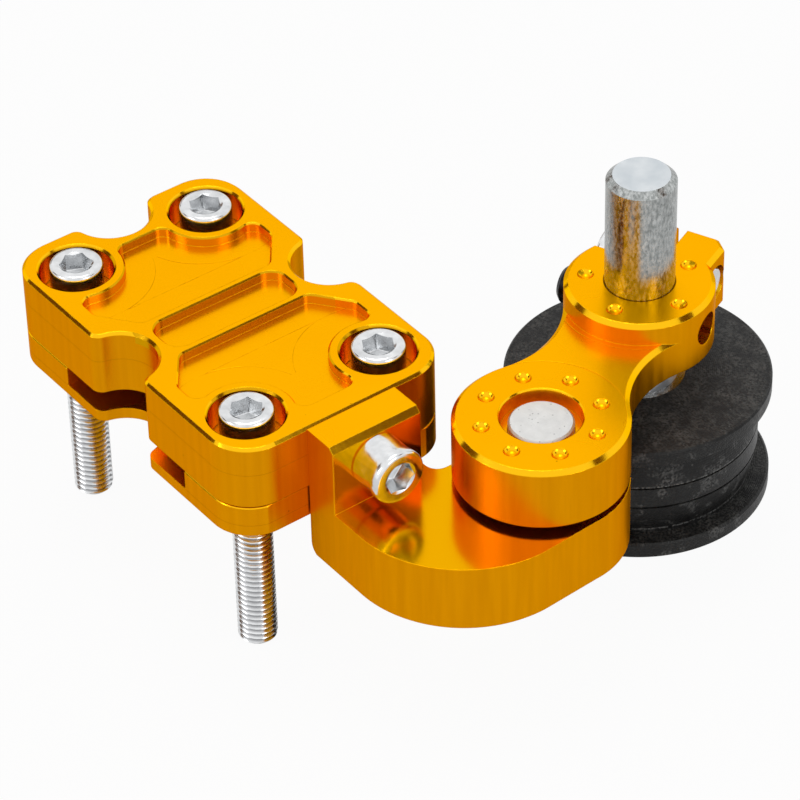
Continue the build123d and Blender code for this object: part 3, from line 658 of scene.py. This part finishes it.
def metal(
    name, dark, light, roughness, patch=120.0, fine=3000.0, contrast=1.5, relief=0.3, depth=0.00002,
    soil=None, soil_colour=(0.10, 0.10, 0.10), hollows=None, hollow_colour=(0.20, 0.20, 0.21),
):
    """A bare or plated metal, patchy between two colours, with soil or dark hollows if given."""
    material, tree, surface, place = new_material(name)
    here = place.outputs["Object"]
    skin = place_group(
        tree, uneven_skin, Position=here, Patch_Scale=patch, Fine_Scale=fine, Contrast=contrast
    )
    colour = mix_colour(tree, skin["Mask"], dark, light)
    if soil:
        spots = place_group(tree, specks, Position=here, **soil)
        colour = mix_colour(tree, product(tree, spots["Mask"], 0.8), colour, soil_colour)
    if hollows:
        colour = mix_colour(tree, hollows(tree, here), colour, hollow_colour)
    tree.links.new(colour, surface.inputs["Base Color"])
    surface.inputs["Metallic"].default_value = 1.0
    tree.links.new(map_range(tree, skin["Mask"], *roughness), surface.inputs["Roughness"])
    tree.links.new(bump(tree, skin["Fine"], relief, depth), surface.inputs["Normal"])
    return material


def thread_roots(tree, here):
    """The bottoms of the clamp screws' threads, drawn darker than the crests."""
    x, y, z = split(tree, here)
    along = math_node(tree, "ABSOLUTE", x)
    aside = math_node(tree, "ABSOLUTE", y)
    away = reach_of(tree, along, aside, screw_corner)
    deep = map_range(tree, away, 1.0, 0.0, dark_up_to, bright_from)
    return product(tree, deep, below(tree, z, thread_roots_below))


clamp_screw_nodes = [
    f"clamp_screw_{end}_{side}" for end in ("front", "rear") for side in ("inner", "outer")
]
screw_low, screw_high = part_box("clamp_screw_front_outer")
clamp_seat = screw_high[2] - screw_head_height
zinc = metal(
    "bright_zinc", (0.66, 0.67, 0.68), (0.88, 0.89, 0.90), (0.12, 0.22), patch=420.0, contrast=2.0
)
threaded_zinc = metal(
    "threaded_zinc", (0.62, 0.63, 0.64), (0.86, 0.87, 0.88), (0.14, 0.24), patch=420.0, contrast=2.0,
    hollows=thread_roots,
)
clamp_screws = make_screws(
    "clamp_screws", head_mesh("clamp_head", 0.0054, screw_head_height, 0.006, 0.004), threaded_zinc,
    seat_at((0, 0, clamp_seat), (0, 0, 1)),
    Length=clamp_seat - screw_low[2] - tip_clearance, Plain_Shank=0.009,
)
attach(clamp_screws, "clamp")
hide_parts(*clamp_screw_nodes)


# Bracket screw: one more M8 cap screw, through the bracket's block into the upper plate's end.
# The bracket turns on it, so its shank under the head is plain. Its rim stands a little proud.

single_screw = {"Columns": 1, "Rows": 1, "Spacing_X": 0.0, "Spacing_Y": 0.0}
bracket_low, bracket_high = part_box("bracket_screw")
block_face_x = bracket_high[0] - screw_head_height
bracket_axis_y = (bracket_low[1] + bracket_high[1]) / 2
bracket_axis_z = (bracket_low[2] + bracket_high[2]) / 2
bracket_screw = make_screws(
    "bracket_cap_screw", head_mesh("bracket_head", 0.0058, screw_head_height, 0.006, 0.004, rim=0.0003),
    zinc, seat_at((block_face_x, bracket_axis_y, bracket_axis_z), (1, 0, 0), spin=0.35),
    Length=0.025, Plain_Shank=0.0095, **single_screw,
)
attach(bracket_screw, "clamp")
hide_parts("bracket_screw")


# Pivot bracket: block, curved arm and round hub in one piece of aluminium, milled with a long
# radius under the drum and anodised gold. Its sides show the fine upright grain of the cutter
# in a gold painted darker as shade, and the arm's top and the block's face take a darker gold as painted
# shade.

arm_top_limit = 0.004
block_face_foot = -0.0017
block_face_slack = 0.0004
# The darker gold painted on the arm's top and the block's face as shade.
bracket_painted_shade_gold = (0.88, 0.42, 0.003)


def bracket_polished_shaded_faces(tree, here, level_faces):
    """The arm's top and the block's face, milled with a fine finishing cutter, which mirror each other
    and are painted a darker gold as shade.
    """
    x, _, z = split(tree, here)
    arm_top = product(tree, level_faces, below(tree, z, arm_top_limit))
    on_block = near(tree, x, block_face_x, block_face_slack)
    return largest(tree, arm_top, product(tree, on_block, above(tree, z, block_face_foot)))


finish_node("pivot_bracket", gold_anodised(
    "bracket_gold", polished=bracket_polished_shaded_faces, painted_shade_gold=bracket_painted_shade_gold,
    side_grain=(1.0, 1.0, 0.08),
))


# Pivot bush and torsion spring: a flanged bronze bush pressed in the hub, and the coil of black
# spring steel round it that pushes the link towards the chain.

finish_node("pivot_bush", metal(
    "oiled_bronze", (0.30, 0.17, 0.06), (0.45, 0.28, 0.12), (0.3, 0.45)
))
finish_node("torsion_spring", metal(
    "oiled_spring_steel", (0.03, 0.03, 0.032), (0.07, 0.07, 0.075), (0.3, 0.4)
))


# Link arm: the drum over the pivot, the waisted web and the split boss of the roller's shaft, in
# one piece of gold anodised aluminium, with eight and seven dimples drilled round the two tops.

drum_top = 0.01315
drum_facing_radius = 0.0166
boss_top = 0.0179
boss_foot_radius = 0.0163
# Out to this reach from the shaft, the boss's top carries a painted shadow.
boss_mouth_shadow_radius = 0.00722
link_line_width = 0.00012
web_pit_centre = (0.0632, 0.0581)
web_pit_radius = 0.00045
pivot_low, pivot_high = (Vector(corner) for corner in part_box("pivot_pin"))
shaft_low, shaft_high = (Vector(corner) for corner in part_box("roller_shaft"))
pivot_axis = ((pivot_low + pivot_high) / 2).xy
boss_axis = ((shaft_low + shaft_high) / 2).xy


def link_cutter_marks_and_shadow(tree, here, level_faces):
    """The end of the drum's facing, the foot of the boss, one pit, and a painted shadow in the mouth of
    the boss.
    """
    x, y, z = split(tree, here)
    from_boss = reach_of(tree, x, y, boss_axis)
    facing_end = near(tree, reach_of(tree, x, y, pivot_axis), drum_facing_radius, link_line_width)
    foot = near(tree, from_boss, boss_foot_radius, link_line_width)
    pit = product(tree, below(tree, reach_of(tree, x, y, web_pit_centre), web_pit_radius), 1.4)
    # A painted shadow round the shaft, in the mouth of the boss.
    mouth = product(tree, below(tree, from_boss, boss_mouth_shadow_radius), 1.7)
    on_web = product(tree, near(tree, z, drum_top, level_slack), level_faces)
    on_boss = product(tree, near(tree, z, boss_top, level_slack), level_faces)
    web_marks = product(tree, largest(tree, facing_end, foot, pit), on_web)
    return largest(tree, product(tree, mouth, on_boss), web_marks)


finish_node("link_arm", gold_anodised("link_gold", link_cutter_marks_and_shadow, side_grain=(1.0, 1.0, 0.08)))


# Pivot pin with its washer and circlip: a steel pin pressed in the drum, its end left grey and
# frosted by a light blasting, held below the hub by a zinc-plated washer and a blackened circlip.

black_oxide = metal("black_oxide", (0.012, 0.012, 0.013), (0.03, 0.03, 0.032), (0.3, 0.45))
finish_node("pivot_pin", metal(
    "frosted_pin_steel", (0.62, 0.62, 0.61), (0.74, 0.74, 0.73), (0.42, 0.55), patch=600.0,
    fine=2500.0, relief=0.7, depth=0.00004, soil={"Scale": 1500.0, "Size": 0.30, "Share": 0.22},
))
finish_node("pivot_washer", zinc)
finish_node("pivot_circlip", black_oxide)


# Pinch screw and set screw: a zinc-plated M8 cap screw draws the split boss together, and a
# blackened set screw in the boss's other side stops the shaft from turning.

pinch_from_shaft = 0.0134
pinch_seat_from_slit = 0.0089
pinch_low, pinch_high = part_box("pinch_screw")
pinch_way = Vector((-0.9171, -0.3987, 0.0))
pinch_along = Vector((-0.3987, 0.9171, 0.0))
pinch_middle = boss_axis.to_3d() + pinch_along * pinch_from_shaft
pinch_middle.z = (pinch_low[2] + pinch_high[2]) / 2
pinch_screw = make_screws(
    "pinch_cap_screw", head_mesh("pinch_head", 0.0054, 0.0056, 0.005, 0.003), zinc,
    seat_at(pinch_middle + pinch_way * pinch_seat_from_slit, pinch_way),
    Length=0.0186, Plain_Shank=0.004, **single_screw,
)
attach(pinch_screw, "link")
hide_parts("pinch_screw")
finish_node("set_screw", black_oxide)


# Roller shaft: a galvanised steel rod with a chamfered end, mottled with grey spangle, which is
# held in the boss by the pinch screw. Two zinc-plated washers keep the bearings apart from it.

spangle_greys = (0.24, 0.255, 0.25), (0.62, 0.64, 0.635)
cloud_grey = (0.34, 0.355, 0.35)
spot_grey = (0.10, 0.11, 0.11)
end_greys = (0.56, 0.60, 0.63), (0.66, 0.69, 0.71)


def mottled_galvanising():
    """Grey spangle drawn out along the rod, with dark spots and a pale smooth end."""
    material, tree, surface, place = new_material("mottled_galvanising")
    drawn = stretched(tree, place.outputs["Object"], (1.0, 1.0, 0.45))
    spangle = place_group(
        tree, uneven_skin, Position=drawn, Patch_Scale=1900.0, Fine_Scale=2600.0, Contrast=2.6
    )
    cloud = place_group(
        tree, uneven_skin, Position=drawn, Patch_Scale=260.0, Fine_Scale=5200.0, Contrast=2.5
    )
    spots = place_group(
        tree, specks, Position=place.outputs["Object"], Scale=1300.0, Size=0.34, Share=0.22
    )
    kind = place_group(tree, face_kind, Normal=place.outputs["Normal"])
    grey = mix_colour(tree, spangle["Mask"], *spangle_greys)
    grey = mix_colour(tree, product(tree, cloud["Mask"], 0.4), grey, cloud_grey)
    grey = mix_colour(tree, product(tree, spots["Mask"], 0.7), grey, spot_grey)
    pale = mix_colour(tree, cloud["Mask"], *end_greys)
    tree.links.new(mix_colour(tree, kind["Level"], grey, pale), surface.inputs["Base Color"])
    surface.inputs["Metallic"].default_value = 1.0
    side_roughness = map_range(tree, spangle["Mask"], 0.16, 0.34)
    roughness = mix_value(tree, kind["Level"], side_roughness, 0.5)
    tree.links.new(roughness, surface.inputs["Roughness"])
    tree.links.new(bump(tree, spangle["Fine"], 0.4, 0.00003), surface.inputs["Normal"])
    return material


finish_node("roller_shaft", mottled_galvanising())
finish_node("shaft_washer", zinc)
finish_node("bolt_washer", zinc)


# Bearings and spacer: two ball bearings of ground steel with pressed shields, pushed in from the
# roller's two ends, and the turned aluminium tube between their inner rings.

ring_steel = metal("ground_ring_steel", (0.62, 0.62, 0.63), (0.78, 0.78, 0.79), (0.1, 0.2))
pressed_steel = metal("pressed_shield_steel", (0.50, 0.50, 0.51), (0.66, 0.66, 0.67), (0.25, 0.38))
for end in ("upper", "lower"):
    for piece in ("outer_ring", "inner_ring", "balls"):
        finish_node(f"{end}_bearing_{piece}", ring_steel)
    for piece in ("cage", "top_shield", "bottom_shield"):
        finish_node(f"{end}_bearing_{piece}", pressed_steel)
finish_node("bearing_spacer", metal(
    "turned_aluminium", (0.7, 0.7, 0.71), (0.8, 0.8, 0.81), (0.25, 0.35)
))


# Roller: turned from a bar of black nylon, with a fuzzy face where the tool lifted the fibres,
# sides painted darker as shade, rings left by its feed, scuffs on its tread, and specks of pale dust that
# cling to it.

roller_low, roller_high = (Vector(corner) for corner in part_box("roller"))
roller_axis = (roller_low + roller_high) / 2
tool_feed = 0.0004
torn_edge_levels = (roller_axis.z + 0.0027, roller_axis.z - 0.00895)
torn_edge_width = 0.00032
nylon_blacks = (0.006, 0.006, 0.006), (0.085, 0.085, 0.08)
torn_grey = (0.22, 0.22, 0.215)
lint_grey = (0.20, 0.20, 0.19)


def black_nylon():
    """Black nylon, fuzzy on its faces, smoother and painted darker as shade on its sides, torn at the
    edges of its grooves.
    """
    material, tree, surface, place = new_material("turned_black_nylon")
    centred = tree.nodes.new("ShaderNodeMapping")
    centred.inputs["Location"].default_value = (-roller_axis.x, -roller_axis.y, 0.0)
    tree.links.new(place.outputs["Object"], centred.inputs["Vector"])
    here = centred.outputs["Vector"]
    x, y, z = split(tree, here)
    skin = place_group(
        tree, uneven_skin, Position=here, Patch_Scale=300.0, Fine_Scale=2600.0, Contrast=2.5
    )
    fibres = place_group(
        tree, uneven_skin, Position=here, Patch_Scale=1900.0, Fine_Scale=900.0, Contrast=4.5
    )
    lint = place_group(tree, specks, Position=here, Scale=520.0, Size=0.16, Share=0.25)
    kind = place_group(tree, face_kind, Normal=place.outputs["Normal"])

    # The sides take less of the lighter fuzz than the faces: a painted shade on the sides.
    fuzzier_faces_darker_sides = map_range(tree, kind["Level"], 0.28, 1.0)
    fuzz_and_shade = product(tree, skin["Mask"], fibres["Mask"], fuzzier_faces_darker_sides)
    colour = mix_colour(tree, fuzz_and_shade, *nylon_blacks)
    edges = (near(tree, z, level, torn_edge_width) for level in torn_edge_levels)
    scuffs = map_range(tree, skin["Mask"], 0.0, 0.45, 0.62, 0.95)
    scuffs = product(tree, scuffs, inverse(tree, kind["Level"]))
    torn = product(tree, largest(tree, *edges, scuffs), fibres["Mask"], 0.9)
    colour = mix_colour(tree, torn, colour, torn_grey)
    colour = mix_colour(tree, product(tree, lint["Mask"], 0.5), colour, lint_grey)
    tree.links.new(colour, surface.inputs["Base Color"])
    surface.inputs["Specular IOR Level"].default_value = 0.25
    side_roughness = map_range(tree, skin["Fine"], 0.28, 0.42)
    face_roughness = map_range(tree, skin["Fine"], 0.36, 0.6)
    roughness = mix_value(tree, kind["Level"], side_roughness, face_roughness)
    tree.links.new(roughness, surface.inputs["Roughness"])

    tool_path = math_node(tree, "ADD", reach_of(tree, x, y, (0.0, 0.0)), z)
    rings = math_node(tree, "SINE", product(tree, tool_path, 2 * math.pi / tool_feed))
    height = math_node(tree, "ADD", product(tree, rings, 0.15), skin["Fine"])
    height = math_node(tree, "ADD", height, product(tree, fibres["Mask"], 0.25))
    tree.links.new(bump(tree, height, 0.8, 0.0001), surface.inputs["Normal"])
    return material


finish_node("roller", black_nylon())


# Roller bolt: the zinc-plated cap screw from below that holds the bearings on the shaft's end.
# Only its head shows, with the socket open downwards.

bolt_head_height = 0.0053
bolt_low, bolt_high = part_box("roller_bolt")
bolt_x = (bolt_low[0] + bolt_high[0]) / 2
bolt_y = (bolt_low[1] + bolt_high[1]) / 2
roller_bolt = make_screws(
    "roller_cap_screw", head_mesh("roller_bolt_head", 0.0065, bolt_head_height, 0.006, 0.0035), zinc,
    seat_at((bolt_x, bolt_y, bolt_low[2] + bolt_head_height), (0, 0, -1)),
    Length=0.045, Plain_Shank=0.030, **single_screw,
)
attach(roller_bolt, "shaft")
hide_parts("roller_bolt")


# The place where it stands: a white table in a white room, three soft lamps, and three dark
# cards beside them that draw the edges of the bright metal.

object_middle = (0.02, 0.02, 0.0)
table_half = 3.0
table_gap = 0.0003
table_seen_by_camera = 0.95
table_seen_in_metal = 0.4
room_light_on_object = 0.5

floor_mesh = bpy.data.meshes.new("table")
floor_build = bmesh.new()
bmesh.ops.create_grid(floor_build, x_segments=1, y_segments=1, size=table_half)
bmesh.ops.translate(floor_build, verts=floor_build.verts, vec=(0, 0, cad_box[0][2] - table_gap))
floor_build.to_mesh(floor_mesh)
floor_build.free()
table = bpy.data.objects.new("table", floor_mesh)
bpy.context.collection.objects.link(table)
table_white, table_tree, table_surface, _ = new_material("white_table")
table_surface.inputs["Base Color"].default_value = (0.82, 0.82, 0.82, 1)
table_surface.inputs["Roughness"].default_value = 0.9
ray = table_tree.nodes.new("ShaderNodeLightPath")
glow = table_tree.nodes.new("ShaderNodeEmission")
glow.inputs["Strength"].default_value = 1.0
blend = table_tree.nodes.new("ShaderNodeMixShader")
in_metal = largest(table_tree, ray.outputs["Is Glossy Ray"], ray.outputs["Is Transmission Ray"])
seen = math_node(
    table_tree, "ADD", product(table_tree, ray.outputs["Is Camera Ray"], table_seen_by_camera),
    product(table_tree, in_metal, table_seen_in_metal), clamp=True,
)
table_tree.links.new(seen, blend.inputs["Fac"])
table_tree.links.new(table_surface.outputs["BSDF"], blend.inputs[1])
table_tree.links.new(glow.outputs["Emission"], blend.inputs[2])
table_tree.links.new(blend.outputs["Shader"], table_tree.nodes["Material Output"].inputs["Surface"])
table.data.materials.append(table_white)

world = bpy.data.worlds.new("white_room")
bpy.context.scene.world = world
world.use_nodes = True
room = world.node_tree
room.nodes.clear()
room_out = room.nodes.new("ShaderNodeOutputWorld")
room_light = room.nodes.new("ShaderNodeBackground")
room_light.inputs["Color"].default_value = (1, 1, 1, 1)
room_ray = room.nodes.new("ShaderNodeLightPath")
room_seen = largest(
    room, room_ray.outputs["Is Camera Ray"], room_ray.outputs["Is Glossy Ray"],
    room_ray.outputs["Is Transmission Ray"],
)
room_strength = map_range(room, room_seen, room_light_on_object, 1.0)
room.links.new(room_strength, room_light.inputs["Strength"])
room.links.new(room_light.outputs["Background"], room_out.inputs["Surface"])


def soft_lamp(name, spot, size, power):
    """A square softbox that faces the object."""
    data = bpy.data.lights.new(name, "AREA")
    data.shape = "SQUARE"
    data.size = size
    data.energy = power
    lamp = bpy.data.objects.new(name, data)
    lamp.location = spot
    lamp.rotation_euler = (Vector(object_middle) - Vector(spot)).to_track_quat("-Z", "Y").to_euler()
    bpy.context.collection.objects.link(lamp)


soft_lamp("overhead_softbox", (-0.15, 0.10, 1.0), 0.45, 1.7)
soft_lamp("left_softbox", (-0.15, -0.85, 0.45), 0.3, 1.1)
soft_lamp("right_softbox", (0.85, 0.10, 0.40), 0.3, 1.0)

card_finish, _, card_surface, _ = new_material("black_card")
card_surface.inputs["Base Color"].default_value = (0.20, 0.09, 0.03, 1)
card_surface.inputs["Roughness"].default_value = 0.9


def dark_card(name, spot, width, height):
    """A card that faces the object, and shows in its metal but not to the camera."""
    build = bmesh.new()
    bmesh.ops.create_grid(build, x_segments=1, y_segments=1, size=0.5)
    facing = (Vector(object_middle) - Vector(spot)).to_track_quat("Z", "Y").to_matrix().to_4x4()
    build.transform(Matrix.Translation(spot) @ facing @ Matrix.Diagonal((width, height, 1.0, 1.0)))
    mesh = bpy.data.meshes.new(name)
    build.to_mesh(mesh)
    build.free()
    mesh.materials.append(card_finish)
    card = bpy.data.objects.new(name, mesh)
    card.visible_camera = False
    bpy.context.collection.objects.link(card)


dark_card("card_at_left", (-0.55, -0.55, 0.38), 0.34, 0.30)
dark_card("card_at_right", (0.50, 0.42, 0.50), 0.22, 0.22)
dark_card("card_behind", (-0.62, 0.20, 0.14), 0.5, 0.16)


# The camera stands where the photographer's stood, turned a little on its own axis.

camera_spot = (0.55430, -0.36321, 0.52694)
azimuth = math.radians(53.83)
elevation = math.radians(39.05)
roll = math.radians(-1.43)
right = Vector((math.cos(azimuth), math.sin(azimuth), 0))
ahead = Vector((-math.sin(azimuth), math.cos(azimuth), 0))
back = Vector((0, 0, math.sin(elevation))) - ahead * math.cos(elevation)
up = back.cross(right)
across = right * math.cos(roll) + up * math.sin(roll)
upward = up * math.cos(roll) - right * math.sin(roll)
camera_data = bpy.data.cameras.new("photo_camera")
camera_data.sensor_width = 36.0
camera_data.lens = 191.3
camera_data.clip_end = 20.0
camera = bpy.data.objects.new("photo_camera", camera_data)
turn = Matrix((across, upward, back)).transposed().to_4x4()
camera.matrix_world = Matrix.Translation(camera_spot) @ turn
bpy.context.collection.objects.link(camera)
bpy.context.scene.camera = camera
bpy.context.scene.view_settings.view_transform = "Standard"
